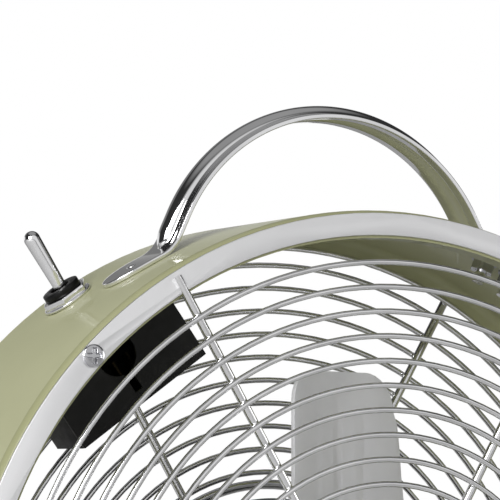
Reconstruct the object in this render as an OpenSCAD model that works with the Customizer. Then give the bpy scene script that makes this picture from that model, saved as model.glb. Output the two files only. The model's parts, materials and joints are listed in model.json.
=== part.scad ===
// Drum desk fan: a short painted steel drum on four turned feet, with a wire grille at each end,
// a four-blade rotor on a small mains motor, a toggle switch and a pressed carry handle.
// The fan axis runs along Y and the front faces -Y. Inside the modules, depths are measured along
// +Y from the front face of the trim ring, and radii from the fan axis.

/* [Drum] */
// Outer radius of the drum
drum_r = 141; // [130:1:152]
// Sheet thickness of the drum
drum_t = 1.2; // [1:0.1:1.6]
// Depth of the drum's rear face
drum_depth = 77; // [74:1:84]
// Radius of the rolled front edge
front_edge_r = 3.5; // [2.5:0.5:4]
// Radius of the rolled rear edge
rear_edge_r = 4; // [3:0.5:5]
// Width by which the front lip shows inside the trim ring
lip_reveal = 0.8; // [0.5:0.1:1.5]
// Depth to which the front lip turns in
lip_depth = 8; // [6:0.5:10]
// Width of the rear flange
rear_flange_w = 6.4; // [6:0.1:8]

/* [Trim ring] */
// Distance of the flat front ring's outer edge from the drum's surface
ring_inset = 1; // [0.5:0.1:1.5]
// Width of the flat front ring
ring_w = 6.9; // [6.5:0.1:9]
// Thickness of the flat front ring
ring_t = 1; // [0.8:0.1:1.5]
// Number of trim ring screws
ring_screw_n = 4; // [3:1:6]
// Radius of a trim ring screw head
ring_screw_head_r = 3.4; // [3:0.1:3.4]
// Radius of a trim ring screw shank
ring_screw_r = 1.75; // [1.5:0.05:1.8]

/* [Grilles] */
// Radius of a ring wire
wire_r = 0.9; // [0.8:0.05:1.1]
// Radius of a spoke wire
spoke_r = 1.4; // [1.2:0.1:1.6]
// Number of spokes in each grille
spoke_n = 6; // [4:1:8]
// Turn of the grilles and their screws about the fan axis, in degrees
grille_turn = 1.2; // [-5:0.1:5]
// Space between the trim ring's opening and the outermost front ring wire
front_rim_gap = 8.4; // [6:0.1:10]
// Distance between neighbouring ring wires
wire_pitch = 7.55; // [7:0.05:7.7]
// Distance by which the front grille is dished inwards at its centre
front_dish = 3.2; // [2:0.1:4]
// Space between the rear grille's frame wire and the next ring wire
rear_rim_gap = 5.6; // [4:0.1:8]
// Distance by which the rear grille bulges outwards towards the motor plate
rear_dish = 3; // [2:0.1:4]
// Distance of the heavy wire ring from the edge of the motor plate
mount_ring_gap = 4.5; // [4:0.1:6]
// Radius of the heavy ring's wire
mount_wire_r = 1.6; // [1.4:0.1:1.8]

/* [Grille cap] */
// Radius of the plain cap at the centre of the front grille
cap_r = 28; // [24:0.5:30]
// Height of the cap's dome
cap_h = 5; // [4:0.5:7]
// Sheet thickness of the cap
cap_t = 1; // [0.8:0.1:1.2]
// Thickness of the clamping plate behind the cap
clamp_t = 1.5; // [1:0.1:2]

/* [Rotor] */
// Height of a blade's tip above the fan axis
blade_tip_r = 92; // [80:0.5:97]
// Width of a blade along its chord
blade_w = 66; // [50:1:66]
// Pitch of the blades, in degrees
blade_pitch = 30; // [24:1:34]
// Sheet thickness of a blade
blade_t = 1.2; // [1:0.1:1.6]
// Radius to which a blade is curved across its chord
blade_camber_r = 110; // [90:5:300]
// Running gap between the blade hub and the motor
hub_gap = 1.2; // [1:0.1:2]
// Radius of the motor shaft
shaft_r = 4; // [3:0.1:4.5]
// Radius of the blade hub
hub_r = 13; // [11:0.5:15]
// Length of the blade hub
hub_len = 17; // [15:0.5:18]

/* [Motor] */
// Outer radius of the motor's end covers
motor_r = 42; // [38:0.5:44]
// Overall length of the motor
motor_len = 32; // [30:0.5:32.5]
// Length of the stator
stator_len = 12; // [10:0.5:12]
// Radius of the rotor core
core_r = 20; // [16:0.5:21]
// Wall thickness of the end covers
bell_t = 1.6; // [1.2:0.1:2]
// Radius of the motor plate
plate_r = 51.8; // [50.5:0.1:52.5]
// Thickness of the motor plate
plate_t = 1.5; // [1.2:0.1:2]
// Radius of the cover over the rear bearing
rear_cap_r = 19; // [16:0.5:22]
// Depth of the cover over the rear bearing
rear_cap_h = 8; // [7:0.5:10]

/* [Switch] */
// Angle of the toggle switch about the fan axis, from +X towards +Z, in degrees
toggle_angle = 126.3; // [124:0.1:130]
// Distance of the toggle switch in front of the middle of its box
toggle_shift = 4.5; // [0:0.1:4.6]
// Length of the lever from its pivot to the middle of its rounded tip
lever_len = 20.8; // [17:0.1:26]
// Radius of the lever at its rounded tip
lever_tip_r = 2.6; // [2.2:0.1:3]
// Radius of the lever at its pivot
lever_root_r = 2; // [1.6:0.1:2.1]
// Travel of the lever each way, in degrees
lever_travel = 12; // [8:1:13]
// Radius of the threaded bushing
bushing_r = 5.9; // [5.5:0.1:6]
// Wall thickness of the hexagon nut at its flats
toggle_nut_wall = 1.1; // [1:0.1:2]
// Thickness of the hexagon nut
toggle_nut_t = 2; // [1.8:0.1:3]
// Width of the washer's face
toggle_washer_w = 2.3; // [2.2:0.1:3]
// Thickness of the washer under the nut
toggle_washer_t = 0.8; // [0.7:0.1:1.2]
// Thickness of the round collar on the nut
collar_t = 2.2; // [1.8:0.1:3]
// Height of the switch box, from the drum's surface to its inner side
box_h = 39.1; // [36:0.1:40]
// Length of the switch box
box_len = 51; // [46:0.5:56]
// Depth of the switch box
box_depth = 22; // [20:0.5:23]
// Distance of the switch box from the drum's rear face
box_rear_gap = 7.5; // [6:0.5:10]
// Wall thickness of the switch box
box_wall = 1.6; // [1.2:0.1:2]
// Turn of the switch box past the toggle about the fan axis, in degrees
box_turn = 0.4; // [0:0.1:1]

/* [Handle] */
// Distance of the handle's centre line from the drum's rear face
handle_rear_gap = 43.5; // [40:0.5:46]
// Turn of the handle about the fan axis, in degrees
handle_turn = 2; // [-4:0.1:4]
// Width of the handle strip
handle_w = 16; // [13:0.5:18]
// Greatest width of the pads at the handle's ends
pad_w = 17; // [16:0.5:20]
// Thickness of the handle strip
handle_t = 1.5; // [1.2:0.1:1.8]
// Outer radius of the bow
bow_r = 57.4; // [54:0.1:60]
// Height of the strip's top above the drum
bow_h = 32; // [29:0.1:38]
// Half the angle that the bow sweeps, in degrees
bow_half_angle = 63.5; // [60:0.1:68]
// Height of the raised ridge above the strip
ridge_h = 3.2; // [2.5:0.1:4]
// Radius of the raised ridge
ridge_r = 4; // [3.6:0.1:4.4]
// Length of each pad along the drum
pad_len = 22.5; // [22:0.5:28]
// Radius of the handle's fixing studs
stud_r = 2; // [1.6:0.1:2.2]

/* [Feet] */
// Angle of each foot from straight down, in degrees
foot_angle = 30; // [25:1:36]
// Distance of the feet from the front and rear of the drum
foot_inset = 12.5; // [12:0.5:16]
// Distance of each ball's centre from the drum's surface
foot_reach = 29; // [26:0.5:34]
// Radius of the rubber balls
ball_r = 10; // [8.5:0.5:11]
// Radius of each leg where it meets the drum
leg_root_r = 7; // [6:0.5:7.5]
// Radius of each leg where it enters the ball
leg_tip_r = 5; // [4:0.5:5.5]
// Radius of the cord's inlet grommet
grommet_r = 7; // [6:0.5:8]

/* [Hidden] */
$fn = 64;
over = 0.5;            // overrun of every cut
seat = 0.1;            // clearance between a piece and the curved drum
fit = 0.05;            // radial clearance of a running or sliding fit
gap = 0.4;             // clearance between a moving piece and its neighbours
weld = 0.3;            // depth to which welded wires sink into each other
ring_fn = 180;         // facets of the large rings in the preview mesh

// Driving radii
ring_r = drum_r - ring_inset;
ring_open_r = ring_r - ring_w;
lip_r = ring_open_r - lip_reveal;
rear_open_r = drum_r - rear_flange_w;
front_wire_r = ring_open_r - front_rim_gap;        // outermost front ring wire
frame_pinch = 0.2;                                 // overlap that holds the frame wire in the rear opening
rear_frame_r = rear_open_r + frame_pinch - wire_r;
rear_wire_r = rear_frame_r - rear_rim_gap;
mount_ring_r = plate_r + mount_ring_gap;
front_wire_n = 1 + floor((front_wire_r - cap_r - 2 * spoke_r) / wire_pitch);
rear_wire_n = 1 + floor((rear_wire_r - mount_ring_r - mount_wire_r - wire_r) / wire_pitch);
blade_n = 4;

// Driving places along the fan axis
face_y = ring_t;                                   // front face of the drum, behind the trim ring
front_spoke_y0 = -spoke_r + ring_t - weld + seat;  // spoke centre where it lies on the trim ring
front_spoke_out = ring_r - spoke_r;                // outer end of a front spoke
front_spoke_in = cap_r - 2 * spoke_r;              // inner end of a front spoke
rear_frame_y = drum_depth - wire_r;                // centre of the rear frame wire
rear_spoke_y0 = rear_frame_y + wire_r + spoke_r - weld;
rear_spoke_in = plate_r - 4 * spoke_r;             // inner end of a rear spoke
wire_step = wire_r + spoke_r - weld;               // ring wire's centre from the spoke's centre
mount_step = mount_wire_r + spoke_r - weld;

function front_spoke_y(r) =
    front_spoke_y0 + front_dish * (front_spoke_out - r) / (front_spoke_out - front_spoke_in);
function rear_spoke_y(r) =
    rear_spoke_y0 + rear_dish * (rear_frame_r - r) / (rear_frame_r - rear_spoke_in);

cap_back_y = front_spoke_y(front_spoke_in) - spoke_r + weld;
cap_front_y = cap_back_y - cap_h;
clamp_y = front_spoke_y(front_spoke_in) + spoke_r - weld;
plate_back_y = rear_spoke_y(rear_spoke_in) - spoke_r + weld;
plate_y = plate_back_y - plate_t;
rear_end_y = plate_back_y + rear_cap_h;
mid_y = (cap_front_y + rear_end_y) / 2;
box_y = drum_depth - box_rear_gap - box_depth;
toggle_y = box_y + box_depth / 2 - toggle_shift;
handle_y = drum_depth - handle_rear_gap;

// Driving heights
ball_dist = drum_r + foot_reach;
ball_cut_share = 0.8;                              // flat of a ball below its centre, of its radius
axis_z = ball_dist * cos(foot_angle) + ball_r * ball_cut_share;

// Trim ring fixings
ring_mid_r = (ring_r + ring_open_r) / 2;
ring_screw_angle = 45 + grille_turn;
ring_screw_head_h = 2.2;
ring_screw_len = 9;
cross_w = 1.1;
cross_depth = 1.4;
clip_nut_rim = 0.3;                                // wall of the clip nut outside the screw
clip_nut_in = lip_r + drum_t + gap;
clip_nut_out = ring_mid_r + ring_screw_r + clip_nut_rim;
clip_nut = [clip_nut_out - clip_nut_in, 8, 3];
roll_in_r = front_edge_r - drum_t;                 // inside of the rolled front edge
roll_reach = max(0, clip_nut_out - drum_r + front_edge_r);
clip_nut_y = face_y + front_edge_r - sqrt(roll_in_r * roll_in_r - roll_reach * roll_reach) + seat;

// Rear clips
rear_clip = [8, 6, 1];
rear_screw_r = 1.2;
rear_screw_head_r = 2.6;
rear_screw_head_h = 1.6;
rear_screw_len = 6;
rear_screw_dist = rear_frame_r + wire_r + gap + rear_screw_r;

// Motor, all depths from the plate's front face
motor_back_y = plate_y;
motor_front_y = motor_back_y - motor_len;
stator_mid_y = (motor_front_y + motor_back_y) / 2;
stator_y = stator_mid_y - stator_len / 2;
yoke_share = 0.83;                                 // inner radius of the yoke, of the stator's radius
stator_r = motor_r - bell_t - seat;
yoke_r = stator_r * yoke_share;
pole_w = 14;
pole_n = 4;
coil_wall = 4;
coil_half_w = pole_w / 2 + coil_wall;
coil_in_r = core_r + 6 * gap;
coil_height = sqrt(yoke_r * yoke_r - coil_half_w * coil_half_w) - coil_in_r - seat;
bearing_wall = 2.5;
boss_wall = 2;
bearing_r = shaft_r + bearing_wall;
boss_r = bearing_r + boss_wall;
boss_len = 7;
boss_out = 2;
bearing_len = boss_len + boss_out + bell_t;
bolt_r = 1.5;
bolt_head_r = 2.8;
bolt_head_h = 1.8;
bolt_circle_share = 0.92;
bolt_circle_r = stator_r * bolt_circle_share;
plate_screw_out = 11;                              // plate screws, outside the rear bearing's cover
plate_screw_circle = rear_cap_r + plate_screw_out;
plate_screw_n = 3;
vent_r = 2.5;
vent_n = 12;
vent_circle_share = 0.43;
cap_screw_r = 2;
cap_screw_head_r = 3.8;
dome_stop = 84;                                    // angle at which a dome's curve meets its flat crown

// Rotor
hub_y = motor_front_y - boss_out - hub_gap - hub_len;
blade_y = hub_y + hub_len / 2 - 1.5 * blade_t;     // mid-plane of the blades
hub_front_y = hub_y;
arm_t = 2;
arm_w = 18;
arm_tip_r = 50;
rivet_r = 2;
rivet_head_r = 3.4;
rivet_head_h = 1.1;
rivet_crown_share = 0.7;
rivet_radii = [31, 43];
sheet_reach = 20;                                  // depth in front of and behind a blade's mid-plane
hub_room = hub_front_y - clamp_y - clamp_t;        // space between the hub and the front grille's centre
hub_nut_share = 0.2844;                            // depth of the hub nut, of that space
cap_screw_head_share = 0.1043;                     // height of the cap screw's head, of that space
hub_nut_r = 7.5;
hub_nut_h = hub_room * hub_nut_share;
cap_screw_head_h = hub_room * cap_screw_head_share;
shaft_front_y = hub_front_y - hub_nut_h + 1.5 * shaft_r / 4;
shaft_back_y = plate_back_y + 2 * plate_t;

// Switch
box_angle = toggle_angle - box_turn;
box_chord = drum_r - box_h;                        // inner side of the box, from the fan axis
ball_pivot_r = 2.8;
collar_r = bushing_r + weld;
toggle_nut_flat = bushing_r + toggle_nut_wall;
toggle_washer_r = bushing_r + toggle_washer_w;
pin_r = 0.8;
washer_low = drum_r + seat;
nut_low = washer_low + toggle_washer_t;
collar_low = nut_low + toggle_nut_t;
pivot_depth = 1.4;                                 // depth of the lever's pivot below the bushing's end
pivot_r = collar_low - pivot_depth;                // lever's pivot, from the fan axis
stem_r = lever_root_r * 0.7;
stem_len = 8;                                      // lever's stem below its pivot
stem_low = pivot_r - stem_len;
lever_lean = 3;                                    // lean of the lever at rest towards the handle
lever_room = 0.9;                                  // space round the stem at the end of its travel
collar_room = 0.5;                                 // space round the lever in the collar's mouth
bushing_bore_r = stem_len * tan(lever_travel) + stem_r + lever_room;
collar_bore_r = (pivot_depth + collar_t) * tan(lever_travel) + lever_root_r + collar_room;
body_size = [18, 9, 20];
box_outer_r = drum_r - drum_t - seat;
body_top = sqrt(pow(box_outer_r - box_wall, 2) - pow(body_size[0] / 2, 2)) - seat;
bushing_low = body_top;                            // the bushing stands on the switch's body
keyhole_r = 6.7;
keyhole_rise = 17.5;
keyhole_dist = box_chord + keyhole_rise;
keyhole_slot_w = 2.8;
keyhole_slot_rise = 4.2;
keyhole_slot_low = box_chord + keyhole_slot_rise;
terminal = [0.8, 4.8, 8];
terminal_step = 5.5;
terminal_low = body_top - body_size[2] - terminal[2];

// Handle
bow_top = drum_r + bow_h;                          // top of the strip, from the fan axis
bow_centre = bow_top - bow_r;
strip_in_r = bow_r - handle_t;
ridge_centre = bow_r + ridge_h - ridge_r;
leg_start = [bow_r * sin(bow_half_angle), bow_centre + bow_r * cos(bow_half_angle)];
pad_in_r = drum_r + seat;
pad_out_r = pad_in_r + handle_t;
// length of the straight leg: from the bow's end, down its tangent, to the pad's outer surface
leg_dot = leg_start[0] * cos(bow_half_angle) - leg_start[1] * sin(bow_half_angle);
leg_len = -leg_dot - sqrt(leg_dot * leg_dot - (leg_start * leg_start - pad_out_r * pad_out_r));
leg_foot = leg_start + leg_len * [cos(bow_half_angle), -sin(bow_half_angle)];
bend_angle = atan2(leg_foot[1], leg_foot[0]);
stud_shares = [0.17, 0.66];                        // places of the studs along the pad
stud_len = 9;
handle_washer_r = 4.3;
handle_washer_t = 0.8;
handle_nut_r = 4;
handle_nut_t = 3.2;
nut_seat_r = drum_r - drum_t - seat;               // what a washer inside the drum rests against

// Feet
leg_flange_w = 1;
leg_flange_r = leg_root_r + leg_flange_w;
leg_flange_t = 2;
leg_end = drum_r + foot_reach;
foot_screw_r = 2;
foot_screw_head_r = 3.8;
foot_screw_head_h = 2.4;
foot_screw_len = 14;
foot_sides = [-1, 1];
foot_depths = [foot_inset, drum_depth - foot_inset];
grommet_angle = 270;
grommet_rear_gap = 19;
grommet_y = drum_depth - grommet_rear_gap;
grommet_lip_w = 1.5;
grommet_lip_t = 1.5;
grommet_wall = 2.2;
grommet_neck_r = grommet_r - grommet_lip_w;
grommet_bore_r = grommet_neck_r - grommet_wall;

function arc(c, r, a0, a1, n) =
    [for (i = [0:n]) c + r * [cos(a0 + (a1 - a0) * i / n), sin(a0 + (a1 - a0) * i / n)]];
function oval(c, rx, ry, a0, a1, n) =
    [for (i = [0:n]) c + [rx * cos(a0 + (a1 - a0) * i / n), ry * sin(a0 + (a1 - a0) * i / n)]];

// Puts the fan's own frame in the part's frame
module placed() { translate([0, -mid_y, axis_z]) children(); }

// Turns an outline of radius and depth about the fan axis
module turned() { rotate([-90, 0, 0]) rotate_extrude($fn = ring_fn) children(); }

// Local +Z points away from the fan axis at an angle, local Y stays along the axis
module radial(angle, y) {
    translate([0, y, 0]) rotate([0, -angle, 0]) rotate([0, 90, 0]) children();
}

// Local +Z points along +Y, at a radius and angle
module axial(angle, r, y) {
    rotate([0, -angle, 0]) translate([r, y, 0]) rotate([-90, 0, 0]) children();
}

module round_bar(r, low, high) { translate([0, 0, low]) cylinder(r = r, h = high - low); }

// A pan head with a crossed driver slot; the head's underside is at zero and the head points down
module crossed_head(r, h) {
    difference() {
        translate([0, 0, -h]) cylinder(r1 = r * 0.72, r2 = r, h = h);
        for (a = [0, 90]) rotate([0, 0, a])
            translate([-r * 0.55, -cross_w / 2, -h - over]) cube([r * 1.1, cross_w, cross_depth + over]);
    }
}

module crossed_screw(head_r, head_h, r, len) {
    crossed_head(head_r, head_h);
    translate([0, 0, -head_h / 4]) cylinder(r = r, h = len + head_h / 4);
}

// Drum

wall_front_y = face_y + front_edge_r;
wall_rear_y = drum_depth - rear_edge_r;

function front_hoop_outline() = concat(
    [[lip_r, lip_depth], [lip_r, face_y]],
    arc([drum_r - front_edge_r, wall_front_y], front_edge_r, -90, 0, 8),
    arc([drum_r - front_edge_r, wall_front_y], front_edge_r - drum_t, 0, -90, 8),
    [[lip_r + drum_t, face_y + drum_t], [lip_r + drum_t, lip_depth]]
);
function rear_hoop_outline() = concat(
    arc([drum_r - rear_edge_r, wall_rear_y], rear_edge_r, 0, 90, 8),
    [[rear_open_r, drum_depth], [rear_open_r, drum_depth - drum_t]],
    arc([drum_r - rear_edge_r, wall_rear_y], rear_edge_r - drum_t, 90, 0, 8)
);

function ring_angles() = [for (i = [0:ring_screw_n - 1]) ring_screw_angle + 360 * i / ring_screw_n];

module wall_hole(angle, y, r) {
    radial(angle, y) round_bar(r, drum_r - drum_t - over, drum_r + over);
}

// The rolled front edge with its lip, welded to the wall and painted over with it
module drum_front_hoop() {
    color([0.675, 0.675, 0.57]) placed() difference() {
        turned() polygon(front_hoop_outline());
        for (a = ring_angles())
            axial(a, ring_mid_r, 0) round_bar(ring_screw_r + fit, face_y - over, face_y + drum_t + over);
    }
}

module drum_rear_hoop() {
    color([0.675, 0.675, 0.57]) placed() difference() {
        turned() polygon(rear_hoop_outline());
        for (a = ring_angles()) axial(a, rear_screw_dist, 0)
            round_bar(rear_screw_r + fit, drum_depth - drum_t - over, drum_depth + over);
    }
}

module drum_shell() {
    color([0.675, 0.675, 0.57]) placed() difference() {
        turned() translate([drum_r - drum_t, wall_front_y]) square([drum_t, wall_rear_y - wall_front_y]);
        wall_hole(toggle_angle, toggle_y, bushing_r + fit);
        for (s = [0, 1], k = stud_shares) wall_hole(stud_angle(s, k), handle_y, stud_r + fit);
        for (s = foot_sides, y = foot_depths) wall_hole(270 + s * foot_angle, y, foot_screw_r + fit);
        wall_hole(grommet_angle, grommet_y, grommet_neck_r + fit);
    }
}

// Front trim

module front_trim_ring() {
    color([0.84, 0.84, 0.84]) placed() difference() {
        turned() translate([ring_open_r, 0]) square([ring_r - ring_open_r, ring_t]);
        for (a = ring_angles())
            axial(a, ring_mid_r, 0) round_bar(ring_screw_r + fit, -over, ring_t + over);
    }
}

module trim_screws() {
    color([0.75, 0.75, 0.76]) placed() for (a = ring_angles())
        axial(a, ring_mid_r, 0)
            crossed_screw(ring_screw_head_r, ring_screw_head_h, ring_screw_r, ring_screw_len);
}

module trim_clip_nuts() {
    color([0.6, 0.6, 0.62]) placed() for (a = ring_angles())
        axial(a, ring_mid_r, clip_nut_y) difference() {
            translate([clip_nut_in - ring_mid_r, -clip_nut[1] / 2, 0]) cube(clip_nut);
            round_bar(ring_screw_r, -over, clip_nut[2] + over);
        }
}

// Grilles

module wire_ring(r, y, w) {
    translate([0, y, 0]) rotate([-90, 0, 0]) rotate_extrude($fn = ring_fn)
        translate([r, 0]) circle(r = w, $fn = 16);
}

// A straight wire between two radii, whose depth changes from y0 at r0 to y1 at r1
module spoke(angle, r0, y0, r1, y1) {
    slope = atan2(y1 - y0, r0 - r1);
    length = norm([r0 - r1, y1 - y0]);
    rotate([0, -angle, 0]) translate([r0, y0, 0]) rotate([0, 0, -slope]) rotate([0, -90, 0])
        cylinder(r = spoke_r, h = length, $fn = 24);
}

function spoke_angles() = [for (i = [0:spoke_n - 1]) grille_turn + 360 * i / spoke_n];

module front_grille_rings() {
    color([0.86, 0.86, 0.87]) placed() for (i = [0:front_wire_n - 1]) {
        r = front_wire_r - i * wire_pitch;
        wire_ring(r, front_spoke_y(r) - wire_step, wire_r);
    }
}

module front_grille_spokes() {
    color([0.82, 0.82, 0.83]) placed() for (a = spoke_angles())
        spoke(a, front_spoke_out, front_spoke_y0, front_spoke_in, front_spoke_y(front_spoke_in));
}

module rear_grille_frame() {
    color([0.55, 0.55, 0.56]) placed() wire_ring(rear_frame_r, rear_frame_y, wire_r);
}

module rear_grille_rings() {
    color([0.55, 0.55, 0.56]) placed() for (i = [0:rear_wire_n - 1]) {
        r = rear_wire_r - i * wire_pitch;
        wire_ring(r, rear_spoke_y(r) + wire_step, wire_r);
    }
}

module rear_grille_spokes() {
    color([0.5, 0.5, 0.51]) placed() for (a = spoke_angles())
        spoke(a, rear_frame_r, rear_spoke_y0, rear_spoke_in, rear_spoke_y(rear_spoke_in));
}

module motor_mount_ring() {
    color([0.55, 0.55, 0.56]) placed()
        wire_ring(mount_ring_r, rear_spoke_y(mount_ring_r) + mount_step, mount_wire_r);
}

// Small plates over the frame wire, screwed to the drum's rear flange
module rear_grille_clips() {
    color([0.6, 0.6, 0.62]) placed() for (a = ring_angles())
        axial(a, rear_screw_dist, drum_depth) difference() {
            translate([2 * rear_screw_r - rear_clip[0], -rear_clip[1] / 2, 0]) cube(rear_clip);
            round_bar(rear_screw_r + fit, -over, rear_clip[2] + over);
        }
}

module rear_grille_screws() {
    color([0.7, 0.7, 0.72]) placed() for (a = ring_angles())
        axial(a, rear_screw_dist, drum_depth + rear_clip[2]) rotate([180, 0, 0])
            crossed_screw(rear_screw_head_r, rear_screw_head_h, rear_screw_r, rear_screw_len);
}

// Cap at the centre of the front grille

function cap_outline() = concat(
    [[0, cap_front_y]],
    oval([0, cap_back_y], cap_r, cap_h, -dome_stop, 0, 14),
    oval([0, cap_back_y], cap_r - cap_t, cap_h - cap_t, 0, -dome_stop, 14),
    [[0, cap_front_y + cap_t]]
);

module grille_cap() {
    color([0.83, 0.83, 0.84]) placed() {
        turned() polygon(cap_outline());
        translate([0, cap_front_y + cap_t / 2, 0]) rotate([-90, 0, 0]) difference() {
            cylinder(r = cap_screw_r * 2, h = clamp_y - cap_front_y - cap_t / 2);
            round_bar(cap_screw_r, cap_t, clamp_y);
        }
    }
}

module grille_clamp_plate() {
    color([0.6, 0.6, 0.62]) placed() turned()
        translate([cap_screw_r + fit, clamp_y]) square([cap_r - cap_t - cap_screw_r, clamp_t]);
}

module grille_cap_screw() {
    color([0.7, 0.7, 0.72]) placed() translate([0, clamp_y + clamp_t, 0]) rotate([90, 0, 0])
        crossed_screw(cap_screw_head_r, cap_screw_head_h, cap_screw_r, clamp_t + cap_h / 2);
}

// Motor

module bolt_places() {
    for (i = [0:pole_n - 1]) axial(45 + 90 * i, bolt_circle_r, 0) children();
}

module plate_screw_places() {
    for (i = [0:plate_screw_n - 1]) axial(30 + 360 * i / plate_screw_n, plate_screw_circle, 0) children();
}

module motor_plate() {
    color([0.62, 0.62, 0.63]) placed() difference() {
        translate([0, plate_y, 0]) rotate([-90, 0, 0]) difference() {
            cylinder(r = plate_r, h = plate_t, $fn = ring_fn);
            round_bar(boss_r + seat, -over, plate_t + over);
        }
        plate_screw_places() round_bar(bolt_r + fit, plate_y - over, plate_back_y + over);
    }
}

// A cup whose closed end is at zero and whose rim is at len, with a boss for the bearing
module bell(len) {
    difference() {
        union() {
            cylinder(r = motor_r, h = len, $fn = ring_fn);
            round_bar(boss_r, -boss_out, len / 2);
        }
        difference() {
            round_bar(motor_r - bell_t, bell_t, len + over, $fn = ring_fn);
            round_bar(boss_r, 0, boss_len);
        }
        round_bar(bearing_r, -boss_out - over, len);
        for (i = [0:vent_n - 1]) rotate([0, 0, 360 * (i + 0.5) / vent_n])
            translate([motor_r * vent_circle_share, 0, 0]) round_bar(vent_r, -over, bell_t + over);
    }
}

bell_len = (motor_len - stator_len) / 2;

module motor_front_bell() {
    color([0.3, 0.3, 0.31]) placed() difference() {
        translate([0, motor_front_y, 0]) rotate([-90, 0, 0]) bell(bell_len);
        bolt_places() round_bar(bolt_r + fit, motor_front_y - over, stator_y + over);
    }
}

module motor_rear_bell() {
    color([0.3, 0.3, 0.31]) placed() difference() {
        translate([0, motor_back_y, 0]) rotate([90, 0, 0]) bell(bell_len);
        plate_screw_places() round_bar(bolt_r, motor_back_y - 2 * bell_t, motor_back_y + over);
    }
}

module stator_core() {
    color([0.42, 0.42, 0.44]) placed() difference() {
        translate([0, stator_y, 0]) rotate([-90, 0, 0]) difference() {
            union() {
                difference() {
                    cylinder(r = motor_r, h = stator_len, $fn = ring_fn);
                    round_bar(yoke_r, -over, stator_len + over, $fn = ring_fn);
                }
                for (i = [0:pole_n - 1]) rotate([0, 0, 90 * i])
                    translate([core_r, -pole_w / 2, 0]) cube([yoke_r + bell_t - core_r, pole_w, stator_len]);
            }
            round_bar(core_r + gap, -over, stator_len + over);
        }
        bolt_places() round_bar(bolt_r + fit, stator_y - over, stator_y + stator_len + over);
    }
}

module stator_coils() {
    color([0.6, 0.33, 0.16]) placed() for (i = [0:pole_n - 1])
        rotate([0, 90 * i, 0]) translate([coil_in_r, stator_mid_y, 0]) difference() {
            translate([0, -stator_len / 2 - coil_wall, -coil_half_w])
                cube([coil_height, stator_len + 2 * coil_wall, 2 * coil_half_w]);
            translate([-over, -stator_len / 2 - seat, -pole_w / 2 - seat])
                cube([coil_height + 2 * over, stator_len + 2 * seat, pole_w + 2 * seat]);
        }
}

module bearing() {
    difference() {
        cylinder(r = bearing_r, h = bearing_len);
        round_bar(shaft_r + fit, -over, bearing_len + over);
    }
}

module front_bearing() {
    color([0.72, 0.55, 0.3]) placed()
        translate([0, motor_front_y - boss_out, 0]) rotate([-90, 0, 0]) bearing();
}

module rear_bearing() {
    color([0.72, 0.55, 0.3]) placed()
        translate([0, motor_back_y + boss_out, 0]) rotate([90, 0, 0]) bearing();
}

// Long bolts through the front cover and the stator, threaded into the rear cover
module motor_bolts() {
    color([0.7, 0.7, 0.72]) placed() bolt_places() translate([0, 0, motor_front_y])
        crossed_screw(bolt_head_r, bolt_head_h, bolt_r, motor_len - seat);
}

module motor_plate_screws() {
    color([0.7, 0.7, 0.72]) placed() plate_screw_places() translate([0, 0, plate_back_y])
        rotate([180, 0, 0]) crossed_screw(bolt_head_r, bolt_head_h, bolt_r, plate_t + 2 * bell_t);
}

function rear_cap_outline() = concat(
    [[0, rear_end_y]],
    oval([0, plate_back_y], rear_cap_r, rear_cap_h, dome_stop, 0, 12),
    oval([0, plate_back_y], rear_cap_r - cap_t, rear_cap_h - cap_t, 0, dome_stop, 12),
    [[0, rear_end_y - cap_t]]
);

module rear_bearing_cap() {
    color([0.3, 0.3, 0.31]) placed() turned() polygon(rear_cap_outline());
}

// Rotor

module motor_shaft() {
    color([0.7, 0.7, 0.72]) placed() rotate([-90, 0, 0]) round_bar(shaft_r, shaft_front_y, shaft_back_y);
}

module rotor_core() {
    color([0.45, 0.45, 0.47]) placed() rotate([-90, 0, 0]) difference() {
        round_bar(core_r, stator_y, stator_y + stator_len);
        round_bar(shaft_r, stator_y - over, stator_y + stator_len + over);
    }
}

// Outline of a blade, chord across and radius up, from its neck on the hub to its rounded tip
blade_root_gap = 1.5;
blade_root_r = hub_r + blade_root_gap;
blade_neck_w = 24;
blade_half = blade_w / 2;
blade_lead = [18, 10];                             // rounding of the leading corner
blade_trail = [13, 12];                            // rounding of the trailing corner
blade_trail_share = 0.84;                          // half width at the trailing corner
trail_shares = [[0.67, 0.83], [0.5, 0.58], [0.33, 0.17]];  // edge between the tip's and the lower rounding
blade_shoulder = [20, 16];                         // rounding of both lower corners
blade_shoulder_r = 38;
blade_shoulder_top = blade_shoulder_r + blade_shoulder[1];

function blade_outline() = concat(
    oval([blade_lead[0] - blade_half, blade_tip_r - blade_lead[1]], blade_lead[0], blade_lead[1], 180, 90, 8),
    oval([blade_half * blade_trail_share - blade_trail[0], blade_tip_r - blade_trail[1]],
        blade_trail[0], blade_trail[1], 90, 0, 8),
    [for (k = trail_shares) [
        blade_half * (1 - k[0] * (1 - blade_trail_share)),
        blade_shoulder_top + k[1] * (blade_tip_r - blade_trail[1] - blade_shoulder_top)
    ]],
    oval([blade_half - blade_shoulder[0], blade_shoulder_top],
        blade_shoulder[0], blade_shoulder[1], -15, -90, 7),
    [[blade_neck_w / 2, blade_root_r], [-blade_neck_w / 2, blade_root_r]],
    oval([blade_shoulder[0] - blade_half, blade_shoulder_top],
        blade_shoulder[0], blade_shoulder[1], -90, -180, 8)
);

function arm_outline() = concat(
    [[-arm_w / 2, hub_r * 0.5], [-arm_w / 2, arm_tip_r - arm_w / 2]],
    arc([0, arm_tip_r - arm_w / 2], arm_w / 2, 180, 0, 10),
    [[arm_w / 2, hub_r * 0.5]]
);

// Places its children on the blade that stands at 90 degrees plus a quarter turn for each index
module on_blade(i) {
    rotate([0, 90 * i, 0]) translate([0, blade_y, 0]) rotate([0, 0, blade_pitch]) children();
}

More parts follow.
